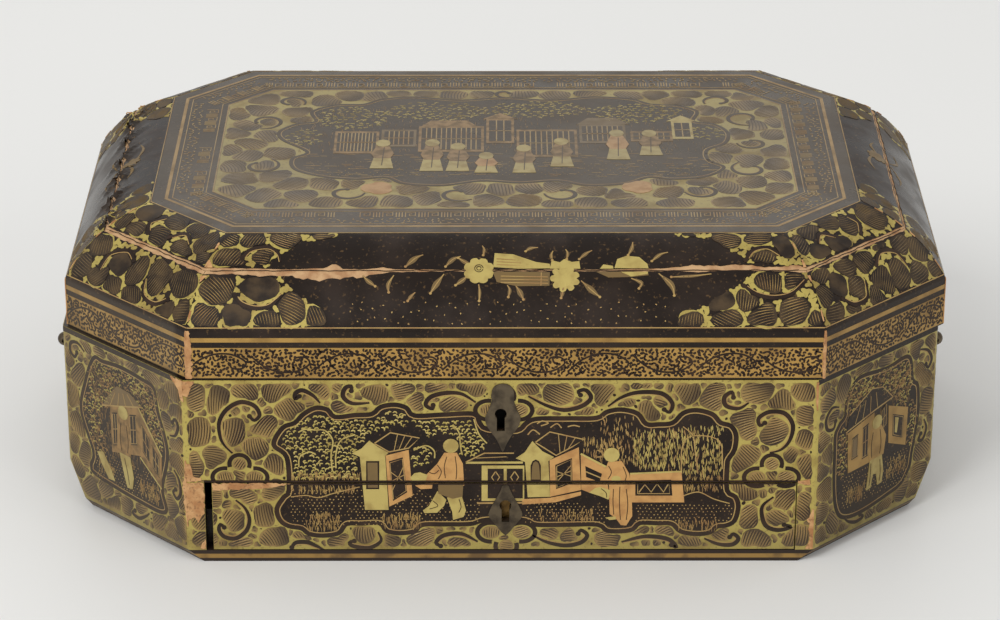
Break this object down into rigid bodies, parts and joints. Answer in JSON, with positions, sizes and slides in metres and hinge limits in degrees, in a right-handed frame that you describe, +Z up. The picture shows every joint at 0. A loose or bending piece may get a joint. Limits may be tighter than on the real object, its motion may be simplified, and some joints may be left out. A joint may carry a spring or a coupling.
{
  "type": "lacquer sewing box",
  "caption": "Octagonal gilt-lacquer sewing box with a hinged cushion lid, a front drawer, a lift-out tray, two locks and a swinging bail at each end.",
  "frame": {"origin": "middle of the base board's underside, on the surface that the box stands on", "axes": "+Z up, +X to the right as seen from the drawer, the drawer opens towards -Y"},
  "size_m": [0.376, 0.2631, 0.1308],
  "materials": {
    "gilded_lacquer": "dark lacquer with dense gilt decoration, semi-gloss",
    "black_lacquer": "plain brown-black lacquer, glossy",
    "bare_wood": "unpolished wood",
    "turned_bone": "turned and polished bone",
    "aged_brass": "darkened brass"
  },
  "bodies": {
    "case": {"base_board": "gilded_lacquer", "front_wall": "gilded_lacquer", "back_wall": "gilded_lacquer", "left_end_wall": "gilded_lacquer", "right_end_wall": "gilded_lacquer", "canted_wall_front_left": "gilded_lacquer", "canted_wall_front_right": "gilded_lacquer", "canted_wall_back_left": "gilded_lacquer", "canted_wall_back_right": "gilded_lacquer", "drawer_stile_left": "gilded_lacquer", "drawer_stile_right": "gilded_lacquer", "well_floor": "black_lacquer", "drawer_guide_left": "bare_wood", "drawer_guide_right": "bare_wood", "drawer_stop": "bare_wood", "lid_lock_case": "aged_brass", "lid_escutcheon": "aged_brass", "hinge_left_case_leaf": "aged_brass", "hinge_left_pin": "aged_brass", "hinge_right_case_leaf": "aged_brass", "hinge_right_pin": "aged_brass", "handle_left_front_post": "aged_brass", "handle_left_back_post": "aged_brass", "handle_right_front_post": "aged_brass", "handle_right_back_post": "aged_brass"},
    "lid": {"lid_rail_front": "gilded_lacquer", "lid_rail_front_right": "gilded_lacquer", "lid_rail_right": "gilded_lacquer", "lid_rail_back_right": "gilded_lacquer", "lid_rail_back": "gilded_lacquer", "lid_rail_back_left": "gilded_lacquer", "lid_rail_left": "gilded_lacquer", "lid_rail_front_left": "gilded_lacquer", "lid_top_board": "gilded_lacquer", "lid_strike": "aged_brass", "hinge_left_lid_leaf": "aged_brass", "hinge_right_lid_leaf": "aged_brass"},
    "drawer": {"drawer_front": "gilded_lacquer", "drawer_left_side": "bare_wood", "drawer_right_side": "bare_wood", "drawer_back": "bare_wood", "drawer_bottom": "bare_wood", "drawer_escutcheon": "aged_brass", "drawer_lock_case": "aged_brass"},
    "drawer_bolt": {"drawer_lock_bolt": "aged_brass"},
    "lid_bolt": {"lid_lock_bolt": "aged_brass"},
    "tray": {"tray_floor": "black_lacquer", "tray_rim": "black_lacquer", "tray_cross_divider": "black_lacquer", "tray_divider_left": "black_lacquer", "tray_divider_right": "black_lacquer"},
    "left_tray_lid": {"tray_lid_left": "gilded_lacquer", "tray_knob_left": "turned_bone"},
    "right_tray_lid": {"tray_lid_right": "gilded_lacquer", "tray_knob_right": "turned_bone"},
    "left_bail": {"handle_left_bail": "aged_brass"},
    "right_bail": {"handle_right_bail": "aged_brass"}
  },
  "joints": [
    {"name": "lid_hinge", "type": "hinge", "parent": "case", "child": "lid", "pos_m": [0, 0.1314, 0.08175], "axis": [-1, 0, 0], "range_deg": [0, 100]},
    {"name": "drawer_slide", "type": "slide", "parent": "case", "child": "drawer", "axis": [0, -1, 0], "range_m": [0, 0.16]},
    {"name": "lid_bolt_slide", "type": "slide", "parent": "case", "child": "lid_bolt", "axis": [1, 0, 0], "range_m": [0, 0.005]},
    {"name": "drawer_bolt_slide", "type": "slide", "parent": "drawer", "child": "drawer_bolt", "axis": [0, 0, 1], "range_m": [0, 0.0045]},
    {"name": "tray_lift", "type": "slide", "parent": "case", "child": "tray", "axis": [0, 0, 1], "range_m": [0, 0.024]},
    {"name": "left_tray_lid_lift", "type": "slide", "parent": "tray", "child": "left_tray_lid", "axis": [0, 0, 1], "range_m": [0, 0.02]},
    {"name": "right_tray_lid_lift", "type": "slide", "parent": "tray", "child": "right_tray_lid", "axis": [0, 0, 1], "range_m": [0, 0.02]},
    {"name": "left_bail_swing", "type": "hinge", "parent": "case", "child": "left_bail", "pos_m": [-0.185, 0, 0.0587], "axis": [0, 1, 0], "range_deg": [0, 165]},
    {"name": "right_bail_swing", "type": "hinge", "parent": "case", "child": "right_bail", "pos_m": [0.185, 0, 0.0587], "axis": [0, -1, 0], "range_deg": [0, 165]}
  ]
}
